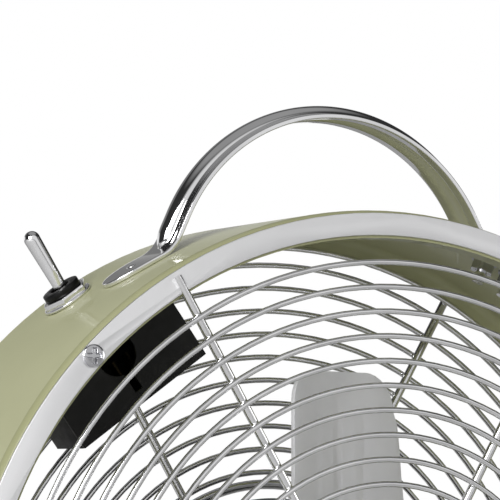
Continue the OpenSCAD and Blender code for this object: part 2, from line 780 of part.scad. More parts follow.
// A curved sheet: an outline of chord and radius, cut from a tube whose axis lies in front
module curved_sheet(r_in, t) {
    intersection() {
        translate([0, sheet_reach / 2, 0]) rotate([90, 0, 0]) linear_extrude(sheet_reach) children();
        translate([0, -blade_camber_r, 0]) difference() {
            cylinder(r = r_in + t, h = blade_tip_r + over, $fn = ring_fn);
            round_bar(r_in, -over, blade_tip_r + 2 * over, $fn = ring_fn);
        }
    }
}

module rivet_holes() {
    for (r = rivet_radii) translate([0, 0, r]) rotate([90, 0, 0])
        cylinder(r = rivet_r, h = sheet_reach, center = true);
}

module blade(i) {
    color([0.74, 0.74, 0.75]) placed() on_blade(i) difference() {
        curved_sheet(blade_camber_r, blade_t) polygon(blade_outline());
        rivet_holes();
    }
}

module blade_1() { blade(0); }
module blade_2() { blade(1); }
module blade_3() { blade(2); }
module blade_4() { blade(3); }

// Hub with four arms that carry the blades from behind
module blade_hub() {
    color([0.6, 0.6, 0.61]) placed() difference() {
        union() {
            rotate([-90, 0, 0]) round_bar(hub_r, hub_y, hub_y + hub_len);
            for (i = [0:blade_n - 1]) on_blade(i) difference() {
                curved_sheet(blade_camber_r + blade_t, arm_t) polygon(arm_outline());
                rivet_holes();
            }
        }
        rotate([-90, 0, 0]) round_bar(shaft_r, hub_y - over, hub_y + hub_len + over);
    }
}

module blade_rivets() {
    color([0.7, 0.7, 0.71]) placed() for (i = [0:blade_n - 1]) on_blade(i)
        for (r = rivet_radii) translate([0, 0, r]) rotate([-90, 0, 0]) {
            round_bar(rivet_r, -rivet_head_h / 2, blade_t + arm_t + rivet_head_h / 2);
            translate([0, 0, -rivet_head_h])
                cylinder(r1 = rivet_crown_share * rivet_head_r, r2 = rivet_head_r, h = rivet_head_h);
            translate([0, 0, blade_t + arm_t])
                cylinder(r1 = rivet_head_r, r2 = rivet_crown_share * rivet_head_r, h = rivet_head_h);
        }
}

module hub_nut() {
    color([0.35, 0.35, 0.36]) placed() rotate([-90, 0, 0]) difference() {
        translate([0, 0, hub_front_y - hub_nut_h]) cylinder(r = hub_nut_r, h = hub_nut_h, $fn = 6);
        round_bar(shaft_r, shaft_front_y, hub_front_y + over);
    }
}

// Switch box

// Section of the box: a slice of the round drum beyond a chord, in from its faces by an inset
module box_section(inset) {
    intersection() {
        translate([-box_len / 2 + inset, box_chord + inset])
            square([box_len - 2 * inset, drum_r - box_chord]);
        circle(r = box_outer_r - inset, $fn = ring_fn);
    }
}

// Extrudes a section of the box between two depths behind its front face
module box_slab(low, high) {
    translate([0, high, 0]) rotate([90, 0, 0]) linear_extrude(high - low) children();
}

// Way for the toggle's bushing through the box and its lid
module bushing_way() {
    radial(toggle_angle, toggle_y)
        round_bar(bushing_r + fit, box_outer_r - 3 * box_wall, drum_r + over);
}

module switch_box() {
    color([0.11, 0.11, 0.10]) placed() difference() {
        radial(box_angle, box_y) difference() {
            box_slab(box_wall, box_depth) box_section(0);
            box_slab(0, box_depth - box_wall) box_section(box_wall);
        }
        bushing_way();
    }
}

module switch_box_lid() {
    color([0.11, 0.11, 0.10]) placed() difference() {
        radial(box_angle, box_y) difference() {
            box_slab(0, box_wall) box_section(0);
            box_slab(-over, box_wall + over) {
                translate([0, keyhole_dist]) circle(r = keyhole_r);
                translate([-keyhole_slot_w / 2, keyhole_slot_low])
                    square([keyhole_slot_w, keyhole_dist - keyhole_slot_low]);
            }
        }
        bushing_way();
    }
}

// Toggle switch, on a radius of the drum

module at_toggle() { placed() radial(toggle_angle, toggle_y) children(); }

module toggle_body() {
    color([0.16, 0.16, 0.16]) at_toggle() difference() {
        translate([-body_size[0] / 2, -body_size[1] / 2, body_top - body_size[2]]) cube(body_size);
        round_bar(bushing_bore_r, stem_low - 1.5 * gap, body_top + over);
    }
}

module toggle_terminals() {
    color([0.8, 0.65, 0.3]) at_toggle() for (k = [-1, 0, 1])
        translate([k * terminal_step - terminal[0] / 2, -terminal[1] / 2, terminal_low]) cube(terminal);
}

module toggle_bushing() {
    color([0.75, 0.75, 0.76]) at_toggle() difference() {
        round_bar(bushing_r, bushing_low, collar_low);
        round_bar(bushing_bore_r, bushing_low - over, collar_low + over);
        translate([0, 0, pivot_r]) rotate([90, 0, 0])
            cylinder(r = pin_r, h = 2 * (bushing_r + over), center = true);
    }
}

module toggle_washer() {
    color([0.85, 0.85, 0.86]) at_toggle() difference() {
        round_bar(toggle_washer_r, washer_low, nut_low);
        round_bar(bushing_r + fit, washer_low - over, nut_low + over);
    }
}

module toggle_nut() {
    color([0.85, 0.85, 0.86]) at_toggle() difference() {
        translate([0, 0, nut_low]) cylinder(r = toggle_nut_flat / cos(30), h = toggle_nut_t, $fn = 6);
        round_bar(bushing_r, nut_low - over, collar_low + over);
    }
}

module toggle_collar() {
    color([0.06, 0.06, 0.06]) at_toggle() difference() {
        round_bar(collar_r, collar_low, collar_low + collar_t);
        round_bar(collar_bore_r, collar_low - over, collar_low + collar_t + over);
    }
}

module toggle_pin() {
    color([0.7, 0.7, 0.72]) at_toggle() translate([0, 0, pivot_r]) rotate([90, 0, 0])
        cylinder(r = pin_r, h = 2 * bushing_r - 2 * seat, center = true);
}

module toggle_lever() {
    color([0.88, 0.88, 0.89]) at_toggle() translate([0, 0, pivot_r]) rotate([0, lever_lean, 0]) difference() {
        union() {
            sphere(r = ball_pivot_r);
            cylinder(r1 = lever_root_r, r2 = lever_tip_r, h = lever_len);
            translate([0, 0, lever_len]) sphere(r = lever_tip_r);
            round_bar(stem_r, stem_low - pivot_r, 0);
        }
        rotate([90, 0, 0]) cylinder(r = pin_r + fit, h = 4 * ball_pivot_r, center = true);
    }
}

// Handle

// Section of the strip: distance from the bow's centre across, depth up
module strip_section() {
    difference() {
        union() {
            translate([strip_in_r, -handle_w / 2]) square([handle_t, handle_w]);
            intersection() {
                translate([ridge_centre, 0]) circle(r = ridge_r);
                translate([strip_in_r, -ridge_r]) square([2 * ridge_r, 2 * ridge_r]);
            }
        }
        translate([ridge_centre, 0]) circle(r = ridge_r - handle_t);
    }
}

function stud_angle(side, share) = handle_turn + (side == 0 ? pad_angle(share) : 180 - pad_angle(share));
function pad_angle(share) = bend_angle - share * pad_len / pad_out_r * 180 / PI;

// Half the pad's width at a share of its length: a leaf with a rounded tip
pad_wide_share = 0.38;
function leaf(s) = s < pad_wide_share
    ? (handle_w + (pad_w - handle_w) * sin(90 * s / pad_wide_share)) / 2
    : pad_w / 2 * sqrt(1 - pow((s - pad_wide_share) / (1 - pad_wide_share), 2));

pad_steps = 18;
function pad_outline() = concat(
    [for (i = [0:pad_steps]) [sin(90 * i / pad_steps) * pad_len, -leaf(sin(90 * i / pad_steps))]],
    [for (i = [pad_steps - 1:-1:0]) [sin(90 * i / pad_steps) * pad_len, leaf(sin(90 * i / pad_steps))]]
);

// One end of the handle: a leg, and a pad with its studs
module handle_end() {
    difference() {
        translate([0, handle_y, bow_centre]) rotate([90, 0, 0]) rotate([0, 0, 90 - bow_half_angle])
            rotate([90, 0, 0]) linear_extrude(leg_len + handle_t / 2) strip_section();
        rotate([-90, 0, 0]) cylinder(r = pad_in_r + handle_t / 2, h = 2 * handle_y, $fn = ring_fn);
    }
    intersection() {
        translate([0, handle_y, 0]) rotate([-90, 0, 0]) difference() {
            cylinder(r = pad_out_r, h = pad_w + over, center = true, $fn = ring_fn);
            cylinder(r = pad_in_r, h = pad_w + 2 * over, center = true, $fn = ring_fn);
        }
        radial(pad_angle(0), handle_y) linear_extrude(pad_out_r + over) polygon(pad_outline());
    }
    for (k = stud_shares) radial(pad_angle(k), handle_y)
        round_bar(stud_r, drum_r - stud_len, pad_in_r + handle_t / 2);
}

module handle_bow() {
    translate([0, handle_y, bow_centre]) rotate([90, 0, 0]) rotate([0, 0, 90 - bow_half_angle])
        rotate_extrude(angle = 2 * bow_half_angle, $fn = ring_fn) strip_section();
}

module handle() {
    color([0.86, 0.86, 0.87]) placed() rotate([0, -handle_turn, 0]) union() {
        handle_bow();
        handle_end();
        mirror([1, 0, 0]) handle_end();
    }
}

module inside_places() {
    for (s = [0, 1], k = stud_shares) radial(stud_angle(s, k), handle_y) children();
}

module handle_washers() {
    color([0.6, 0.6, 0.62]) placed() inside_places() difference() {
        round_bar(handle_washer_r, nut_seat_r - handle_washer_t, nut_seat_r);
        round_bar(stud_r + fit, nut_seat_r - 2 * handle_washer_t, nut_seat_r + over);
    }
}

module handle_nuts() {
    nut_top = nut_seat_r - handle_washer_t;
    color([0.7, 0.7, 0.72]) placed() inside_places() difference() {
        translate([0, 0, nut_top - handle_nut_t]) cylinder(r = handle_nut_r, h = handle_nut_t, $fn = 6);
        round_bar(stud_r, nut_top - handle_nut_t - over, nut_top + over);
    }
}

// Feet

module foot_places() {
    for (s = foot_sides, y = foot_depths) radial(270 + s * foot_angle, y) children();
}

module foot_legs() {
    color([0.85, 0.85, 0.86]) placed() foot_places() difference() {
        union() {
            round_bar(leg_flange_r, drum_r - drum_t, drum_r + leg_flange_t);
            translate([0, 0, drum_r]) cylinder(r1 = leg_root_r, r2 = leg_tip_r, h = foot_reach);
        }
        rotate([90, 0, 0]) cylinder(r = drum_r + seat, h = 4 * leg_flange_r, center = true, $fn = ring_fn);
        round_bar(foot_screw_r, drum_r - 2 * drum_t, drum_r + foot_screw_len);
    }
}

module foot_balls() {
    color([0.08, 0.08, 0.08]) difference() {
        placed() foot_places() difference() {
            translate([0, 0, leg_end]) sphere(r = ball_r);
            translate([0, 0, drum_r]) cylinder(r1 = leg_root_r, r2 = leg_tip_r, h = foot_reach);
        }
        translate([-2 * drum_r, -2 * drum_r, -2 * ball_r]) cube([4 * drum_r, 4 * drum_r, 2 * ball_r]);
    }
}

module foot_screws() {
    color([0.7, 0.7, 0.72]) placed() foot_places() translate([0, 0, nut_seat_r])
        crossed_screw(foot_screw_head_r, foot_screw_head_h, foot_screw_r, foot_screw_len - drum_t);
}

module cord_grommet() {
    color([0.08, 0.08, 0.08]) placed() radial(grommet_angle, grommet_y) difference() {
        union() {
            round_bar(grommet_neck_r, nut_seat_r - grommet_lip_t, drum_r + seat + grommet_lip_t);
            round_bar(grommet_r, nut_seat_r - grommet_lip_t, nut_seat_r - seat);
            round_bar(grommet_r, drum_r + 2 * seat, drum_r + 2 * seat + grommet_lip_t);
        }
        round_bar(grommet_bore_r, drum_r - 4 * grommet_lip_t, drum_r + 3 * grommet_lip_t);
    }
}

drum_shell();
drum_front_hoop();
drum_rear_hoop();
front_trim_ring();
trim_screws();
trim_clip_nuts();
front_grille_rings();
front_grille_spokes();
grille_cap();
grille_clamp_plate();
grille_cap_screw();
rear_grille_frame();
rear_grille_rings();
rear_grille_spokes();
rear_grille_clips();
rear_grille_screws();
motor_mount_ring();
motor_plate();
motor_front_bell();
motor_rear_bell();
stator_core();
stator_coils();
front_bearing();
rear_bearing();
motor_bolts();
motor_plate_screws();
rear_bearing_cap();
motor_shaft();
rotor_core();
blade_hub();
blade_1();
blade_2();
blade_3();
blade_4();
blade_rivets();
hub_nut();
switch_box();
switch_box_lid();
toggle_body();
toggle_terminals();
toggle_bushing();
toggle_washer();
toggle_nut();
toggle_collar();
toggle_pin();
toggle_lever();
handle();
handle_washers();
handle_nuts();
foot_legs();
foot_balls();
foot_screws();
cord_grommet();
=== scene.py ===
import json
import math

import bmesh
import bpy
from mathutils import Matrix, Vector

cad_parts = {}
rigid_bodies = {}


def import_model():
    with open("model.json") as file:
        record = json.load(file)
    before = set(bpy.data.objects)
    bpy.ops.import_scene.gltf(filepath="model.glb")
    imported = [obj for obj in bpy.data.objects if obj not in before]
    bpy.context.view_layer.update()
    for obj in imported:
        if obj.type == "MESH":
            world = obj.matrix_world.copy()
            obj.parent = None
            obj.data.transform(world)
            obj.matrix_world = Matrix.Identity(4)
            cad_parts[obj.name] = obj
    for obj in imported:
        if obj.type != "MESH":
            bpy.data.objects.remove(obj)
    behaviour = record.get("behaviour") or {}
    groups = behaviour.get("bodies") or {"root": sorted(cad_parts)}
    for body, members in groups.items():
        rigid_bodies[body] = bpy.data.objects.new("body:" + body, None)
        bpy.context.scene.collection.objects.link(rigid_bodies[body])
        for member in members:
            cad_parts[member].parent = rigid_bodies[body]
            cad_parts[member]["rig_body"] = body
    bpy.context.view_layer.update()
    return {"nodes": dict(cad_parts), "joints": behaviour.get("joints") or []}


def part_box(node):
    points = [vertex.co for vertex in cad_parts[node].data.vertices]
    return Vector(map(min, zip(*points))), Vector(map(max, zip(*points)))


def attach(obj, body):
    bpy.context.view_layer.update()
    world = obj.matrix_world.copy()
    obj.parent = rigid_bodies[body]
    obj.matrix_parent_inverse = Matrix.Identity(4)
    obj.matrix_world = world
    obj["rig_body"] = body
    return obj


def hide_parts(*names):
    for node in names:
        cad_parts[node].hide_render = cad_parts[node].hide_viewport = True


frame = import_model()
nodes = frame["nodes"]

# Sizes are in millimetres, and MM makes them the metres that Blender gets. The studio, with its
# floor, lamps and camera clipping, is in metres from the start.
MM = 0.001
scene = bpy.context.scene

# The fan's own frame: x and z from the fan axis, y from the front face of the trim ring
rotor_joint = next(j for j in frame["joints"] if j["name"] == "rotor_spin")
axis_z = rotor_joint["pos_m"][2]
front_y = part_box("front_trim_ring")[0].y
FAN = Vector((0, front_y, axis_z))


def fan(x, y, z):
    """A point of the fan's frame, in millimetres, as a point of the scene."""
    return FAN + Vector((x, y, z)) * MM


def new_object(name, data):
    obj = bpy.data.objects.new(name, data)
    scene.collection.objects.link(obj)
    return obj


# Camera: place in the fan's frame, turn and tilt in degrees, lens and sensor in millimetres

CAM_AT = (-480.7, -874.6, 61.6)
CAM_AZ, CAM_EL = -26.36, -3.84
CAM_LENS, CAM_SENSOR = 234.0, 36.0
CAM_CLIP = (0.01, 60)
LEVEL = 90                           # a camera's turn about X, in degrees, when it looks level

cam_data = bpy.data.cameras.new("camera")
cam_data.lens = CAM_LENS
cam_data.sensor_width = CAM_SENSOR
cam_data.sensor_fit = "HORIZONTAL"
cam_data.clip_start, cam_data.clip_end = CAM_CLIP
camera = new_object("camera", cam_data)
camera.location = fan(*CAM_AT)
camera.rotation_euler = (math.radians(LEVEL - CAM_EL), 0, math.radians(CAM_AZ))
scene.camera = camera

scene.view_settings.view_transform = "Standard"
scene.view_settings.look = "None"
scene.view_settings.exposure = 0
scene.view_settings.gamma = 1


# Shader nodes: `owner` is the material or the world whose node tree is built

IOR = 1.5
# The span of a noise texture's values that colours and roughness are stretched over
NOISE_LOW, NOISE_HIGH = 0.35, 0.65
# How far the roughness of a moulded piece goes down and up, as shares of it
SHINIER, DULLER = 0.9, 1.12


def add(owner, kind, **settings):
    n = owner.node_tree.nodes.new(kind)
    for key, value in settings.items():
        setattr(n, key, value)
    return n


def put(node, values):
    """Sets inputs of a node by their names."""
    for key, value in values.items():
        node.inputs[key].default_value = value


def link(owner, a, b):
    owner.node_tree.links.new(a, b)


def new_material(name, roughness, metallic=0.0, coat=0.0, coat_rough=0.03):
    m = bpy.data.materials.new(name)
    m.use_nodes = True
    b = m.node_tree.nodes["Principled BSDF"]
    put(b, {"Roughness": roughness, "Metallic": metallic, "Coat Weight": coat,
            "Coat Roughness": coat_rough, "IOR": IOR})
    return m, b


def noise(m, scale, detail, rough=0.5, stretch=None, coords=None):
    """A noise texture of so many cells a metre, in object space unless coordinates are given,
    stretched along an axis if asked."""
    n = add(m, "ShaderNodeTexNoise")
    put(n, {"Scale": scale, "Detail": detail, "Roughness": rough})
    if coords is None:
        coords = add(m, "ShaderNodeTexCoord").outputs["Object"]
    if stretch:
        mapping = add(m, "ShaderNodeMapping")
        put(mapping, {"Scale": stretch})
        link(m, coords, mapping.inputs["Vector"])
        coords = mapping.outputs["Vector"]
    link(m, coords, n.inputs["Vector"])
    return n


def linear(c):
    """An sRGB value of 0 to 255 as a linear one, by the sRGB standard's own constants."""
    c /= 255
    return c / 12.92 if c <= 0.04045 else ((c + 0.055) / 1.055) ** 2.4


def colour_from(m, b, n, dark, light):
    """A base colour that drifts between two sRGB colours of 0 to 255 with a noise."""
    ramp = add(m, "ShaderNodeValToRGB")
    stops = ramp.color_ramp.elements
    for k, (at, colour) in enumerate(((NOISE_LOW, dark), (NOISE_HIGH, light))):
        stops[k].position = at
        stops[k].color = (*(linear(c) for c in colour), 1)
    link(m, n.outputs["Fac"], ramp.inputs["Fac"])
    link(m, ramp.outputs["Color"], b.inputs["Base Color"])


def rough_from(m, b, n, low, high):
    """A roughness that drifts between two values with a noise."""
    span = add(m, "ShaderNodeMapRange")
    put(span, {"From Min": NOISE_LOW, "From Max": NOISE_HIGH, "To Min": low, "To Max": high})
    link(m, n.outputs["Fac"], span.inputs["Value"])
    link(m, span.outputs["Result"], b.inputs["Roughness"])


def bump_from(m, b, n, strength, distance):
    """A relief from a noise, with its depth in metres."""
    bump = add(m, "ShaderNodeBump")
    put(bump, {"Strength": strength, "Distance": distance})
    link(m, n.outputs["Fac"], bump.inputs["Height"])
    link(m, bump.outputs["Normal"], b.inputs["Normal"])


# Materials: colours as (dark, light) pairs, roughness as (low, high) pairs

def paint(name, dark, light):
    """Gloss enamel over sheet: slight cloudiness in the colour and a faint orange peel."""
    m, b = new_material(name, roughness=0.42, coat=0.28, coat_rough=0.02)
    put(b, {"Specular IOR Level": 0.15})
    colour_from(m, b, noise(m, scale=22, detail=3), dark, light)
    bump_from(m, b, noise(m, scale=420, detail=2), strength=0.03, distance=0.0004)
    return m


def chrome(name, dark=(232, 232, 233), light=(243, 243, 244), rough=(0.05, 0.08)):
    """Bright plating: nearly a mirror, with a trace of haze that varies over the piece."""
    m, b = new_material(name, rough[0], metallic=1.0)
    colour_from(m, b, noise(m, scale=60, detail=2), dark, light)
    rough_from(m, b, noise(m, scale=90, detail=2), *rough)
    return m


def satin(name, dark, light, rough, stretch, scale=900, bump=0.02, metallic=1.0):
    """Rolled or ground metal: fine streaks along one direction, in its roughness and relief."""
    m, b = new_material(name, sum(rough) / 2, metallic=metallic)
    colour_from(m, b, noise(m, scale=45, detail=3), dark, light)
    streaks = noise(m, scale, detail=4, rough=0.6, stretch=stretch)
    rough_from(m, b, streaks, *rough)
    bump_from(m, b, streaks, bump, distance=0.0003)
    return m


def ground_ring(name, dark, light, rough):
    """Satin metal whose fine grain runs round the fan axis."""
    m, b = new_material(name, sum(rough) / 2, metallic=1.0)
    place = add(m, "ShaderNodeTexCoord")
    from_axis = add(m, "ShaderNodeVectorMath", operation="SUBTRACT")
    from_axis.inputs[1].default_value = FAN
    flat = add(m, "ShaderNodeVectorMath", operation="MULTIPLY")
    flat.inputs[1].default_value = (1, 0, 1)
    radius = add(m, "ShaderNodeVectorMath", operation="LENGTH")
    along = add(m, "ShaderNodeCombineXYZ")
    link(m, place.outputs["Object"], from_axis.inputs[0])
    link(m, from_axis.outputs["Vector"], flat.inputs[0])
    link(m, flat.outputs["Vector"], radius.inputs[0])
    link(m, radius.outputs["Value"], along.inputs["X"])
    grain = noise(m, scale=4000, detail=3, rough=0.6, coords=along.outputs["Vector"])
    colour_from(m, b, noise(m, scale=30, detail=3), dark, light)
    rough_from(m, b, grain, *rough)
    bump_from(m, b, grain, strength=0.015, distance=0.0003)
    return m


def moulded(name, dark, light, rough, bump=0.15, shine=0.25):
    """Plastic or rubber with a fine grain, a little duller here and shinier there."""
    m, b = new_material(name, rough)
    put(b, {"Specular IOR Level": shine})
    colour_from(m, b, noise(m, scale=70, detail=3), dark, light)
    rough_from(m, b, noise(m, scale=240, detail=3), rough * SHINIER, rough * DULLER)
    bump_from(m, b, noise(m, scale=2600, detail=3), bump, distance=0.0002)
    return m


SAGE = paint("sage_enamel", (173, 174, 138), (179, 180, 144))
# A darker copy of the sage enamel: painted shade that dulls the lit band along the drum's rolled
# front edge, which is the same paint as the wall.
SAGE_SHADED_EDGE = paint("sage_enamel_painted_shade", (147, 148, 113), (153, 154, 119))
MOTOR_PAINT = paint("motor_enamel", (30, 30, 31), (38, 38, 39))
CHROME = chrome("chrome_plate")
WIRE = chrome("wire_plate", (226, 226, 227), (240, 240, 241), rough=(0.08, 0.12))
ZINC = chrome("zinc_plate", (190, 190, 196), (214, 214, 218), rough=(0.2, 0.32))
SCREW_PLATE = chrome("screw_plate", (186, 186, 189), (208, 208, 211), rough=(0.1, 0.16))
SHEET = satin("zinc_sheet", (160, 160, 166), (182, 182, 188),
              rough=(0.3, 0.42), stretch=(1, 6, 1))
TRIM = ground_ring("trim_satin", (230, 230, 231), (236, 236, 237), rough=(0.42, 0.5))
BLADE = satin("blade_satin", (219, 219, 222), (227, 227, 230),
              rough=(0.4, 0.5), stretch=(1, 1, 0.12), scale=1400, bump=0.03, metallic=0.1)
STEEL = satin("motor_steel", (150, 150, 152), (172, 172, 174),
              rough=(0.3, 0.42), stretch=(0.15, 1, 1))
CORE = satin("core_sheets", (88, 88, 92), (112, 112, 116),
             rough=(0.4, 0.55), stretch=(0.1, 8, 0.1), scale=700, bump=0.2)
COPPER = satin("copper_wire", (150, 84, 46), (182, 108, 62),
               rough=(0.28, 0.4), stretch=(1, 5, 5), scale=1500, bump=0.3)
BRONZE = satin("bearing_bronze", (158, 122, 70), (184, 146, 88),
               rough=(0.3, 0.42), stretch=(1, 0.2, 1))
# Brass darkened almost to black: painted shade, so the terminals stay dark where they show
# through the switch box lid's keyhole.
BRASS_PAINTED_SHADE = satin("terminal_brass", (30, 26, 18), (42, 36, 24),
              rough=(0.5, 0.6), stretch=(1, 1, 0.2))
HUB_STEEL = satin("hub_steel", (150, 150, 152), (174, 174, 176),
                  rough=(0.28, 0.4), stretch=(1, 1, 0.3))
NUT_DARK = satin("nut_dark", (66, 66, 69), (84, 84, 88),
                 rough=(0.3, 0.4), stretch=(1, 1, 1))
BOX_BLACK = moulded("box_black", (13, 13, 11), (20, 20, 18), rough=0.5)
COLLAR_BLACK = moulded("collar_black", (3, 3, 3), (6, 6, 6), rough=0.34, bump=0.03)
BODY_BLACK = moulded("body_black", (3, 3, 3), (5, 5, 5), rough=0.85, bump=0.03, shine=0.02)
RUBBER = moulded("rubber_black", (20, 20, 20), (32, 32, 32), rough=0.62, bump=0.25)


# CAD nodes that are shown as they are, with their finished material

DRESSED = (
    (SAGE, ("drum_shell", "drum_rear_hoop")),
    # the front hoop gets the darker copy of the enamel, painted shade
    (SAGE_SHADED_EDGE, ("drum_front_hoop",)),
    (WIRE, ("front_grille_rings", "front_grille_spokes", "rear_grille_frame",
            "rear_grille_rings", "rear_grille_spokes", "motor_mount_ring")),
    (CHROME, ("grille_cap", "toggle_lever", "toggle_pin", "toggle_bushing", "foot_legs")),
    (ZINC, ("rear_grille_screws", "grille_cap_screw", "motor_bolts", "motor_plate_screws",
            "foot_screws", "handle_nuts", "blade_rivets")),
    (SHEET, ("trim_clip_nuts", "grille_clamp_plate", "rear_grille_clips", "handle_washers")),
    (STEEL, ("motor_plate", "motor_shaft")),
    (MOTOR_PAINT, ("motor_front_bell", "motor_rear_bell", "rear_bearing_cap")),
    (CORE, ("stator_core", "rotor_core")),
    (COPPER, ("stator_coils",)),
    (BRONZE, ("front_bearing", "rear_bearing")),
    (HUB_STEEL, ("blade_hub",)),
    (NUT_DARK, ("hub_nut",)),
    # the terminals' near-black brass is painted shade
    (BRASS_PAINTED_SHADE, ("toggle_terminals",)),
    (BODY_BLACK, ("toggle_body",)),
    (RUBBER, ("foot_balls", "cord_grommet")),
)

for material, names in DRESSED:
    for name in names:
        slots = nodes[name].data.materials
        slots.clear()
        slots.append(material)


# Pieces with a mesh of their own, each in the place of a CAD node

# Edges sharper than this many degrees stay crisp on a rounded copy and on a pressed piece
CRISP_ROUNDED, CRISP_PRESSED = 40, 50


def finished(obj, material, crisp):
    """Gives an object its material and smooth faces, with its sharper edges kept crisp."""
    me = obj.data
    for p in me.polygons:
        p.use_smooth = True
    me.set_sharp_from_angle(angle=math.radians(crisp))
    me.materials.clear()
    me.materials.append(material)
    return obj


def pressed(name, bm, material):
    """A finished object made from a bmesh, with its faces turned outwards."""
    bmesh.ops.recalc_face_normals(bm, faces=bm.faces)
    me = bpy.data.meshes.new(name)
    bm.to_mesh(me)
    bm.free()
    return finished(new_object(name, me), material, CRISP_PRESSED)


def bridge(bm, a, b):
    """Faces between two closed rows of as many vertices."""
    for k in range(len(a)):
        n = (k + 1) % len(a)
        bm.faces.new((a[k], b[k], b[n], a[n]))


# Rounded copies of CAD nodes: width of the rounding in millimetres, material and slot

ROUND_STEPS, ROUND_OVER = 2, 35      # a rounding's steps, and the degrees over which it is made
WELD = 2e-6                          # metres under which two points are made one
FLAT_UNDER = 0.4                     # degrees under which two faces are made one

ROUNDED = (
    ("front_trim_ring", 0.15, TRIM, "trim_satin"),
    ("switch_box", 0.35, BOX_BLACK, "switch_black"),
    ("switch_box_lid", 0.3, BOX_BLACK, "switch_black"),
    ("toggle_nut", 0.25, CHROME, "switch_chrome"),
    ("toggle_washer", 0.15, CHROME, "switch_chrome"),
    ("toggle_collar", 0.25, COLLAR_BLACK, "collar_black"),
    *((f"blade_{k}", 0.3, BLADE, "blade_aluminium") for k in range(1, 5)),
)


def softened(node, width, material, slot):
    """A copy of a CAD node whose sharp edges are rounded, and which replaces it."""
    me = nodes[node].data.copy()
    me.name = node + "_soft"
    bm = bmesh.new()
    bm.from_mesh(me)
    bmesh.ops.remove_doubles(bm, verts=bm.verts, dist=WELD)
    bmesh.ops.dissolve_limit(bm, angle_limit=math.radians(FLAT_UNDER), verts=bm.verts,
                             edges=bm.edges, use_dissolve_boundaries=False)
    bm.to_mesh(me)
    bm.free()
    obj = new_object(node + "_soft", me)
    bevel = obj.modifiers.new("edge", "BEVEL")
    bevel.width = width * MM
    bevel.segments = ROUND_STEPS
    bevel.limit_method = "ANGLE"
    bevel.angle_limit = math.radians(ROUND_OVER)
    bevel.use_clamp_overlap = True
    bevel.harden_normals = False
    done = obj.evaluated_get(bpy.context.evaluated_depsgraph_get())
    me = bpy.data.meshes.new_from_object(done)
    obj.modifiers.clear()
    obj.data = me
    finished(obj, material, CRISP_ROUNDED)
    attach(obj, nodes[node]["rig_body"])
    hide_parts(node)


for row in ROUNDED:
    softened(*row)


# Handle: a pressed strip with a hollow ridge along its bow, bent out into a flat leaf at each end

DRUM_R = 141.0
HANDLE_Y = 33.5                      # the strip's middle line, behind the trim ring's front face
HANDLE_TURN = math.radians(2)        # about the fan axis
# The bow, from the top down to where the straight leg starts: radius, height over the drum, and
# half its angle
BOW_R, BOW_H, BOW_HALF = 57.4, 32.0, math.radians(63.5)
BEND_R = 12.0                        # the bend between leg and leaf
# The strip: thickness, width, and rounding of its edges
STRIP_T, STRIP_W, EDGE = 1.5, 16.0, 0.35
# The ridge: crest's radius, height over the flange, radius of its hollow foot, how far past the
# leaf's root it starts, over what length it rises, and the share of it under which there is none
RIDGE_R, RIDGE_H, RIDGE_FOOT = 4.0, 3.2, 0.8
RIDGE_GAP, RIDGE_RUN_IN, RIDGE_LEAST = -0.5, 6.5, 0.02
# The leaf: gap under it, outer face's radius, tip's angle from level, length, width, the share
# of its length over which it widens before its elliptic end, and the tip's least share of width
PAD_GAP = 0.1
PAD_TOP = DRUM_R + PAD_GAP + STRIP_T
PAD_TIP = math.radians(57.58)
PAD_LEN, PAD_W, PAD_STRAIGHT, TIP_LEAST = 22.5, 17.0, 0.38, 0.02
# Studs under each leaf: places as shares of its length, radius, length under the drum's face,
# reach above it, and sides
STUD_SHARES, STUD_R, STUD_LEN, STUD_IN, STUD_SEGS = (0.17, 0.66), 2.0, 9.0, 0.5, 32
# The small peened dot on each leaf: its place as a share, its half sizes, and its divisions
PEEN_SHARE, PEEN_SIZE, PEEN_SEGS, PEEN_RINGS = 0.52, (1.5, 1.5, 0.45), 48, 24
# Steps along the strip, and across it: over the rounding as shares of it, then over the flange,
# the ridge's foot and half its crest
BOW_STEPS, LEG_STEPS, BEND_STEPS, PAD_STEPS = 60, 8, 32, 48
EDGE_SHARES = (0, 0.05, 0.2, 0.45, 1)
FLAT_STEPS, FOOT_STEPS, CREST_STEPS = 4, 4, 14
TINY = 1e-6                          # keeps a divisor from being zero

# How far the crest's centre lies over the flange, how far from the middle the ridge reaches, and
# the angle of the leaf's root
LIFT = RIDGE_H - RIDGE_R
REACH = math.sqrt((RIDGE_R + RIDGE_FOOT) ** 2 - (RIDGE_FOOT - LIFT) ** 2)
ROOT_A = PAD_TIP + PAD_LEN / PAD_TOP


def ray(a):
    """The direction at an angle from level."""
    return Vector((math.cos(a), math.sin(a)))


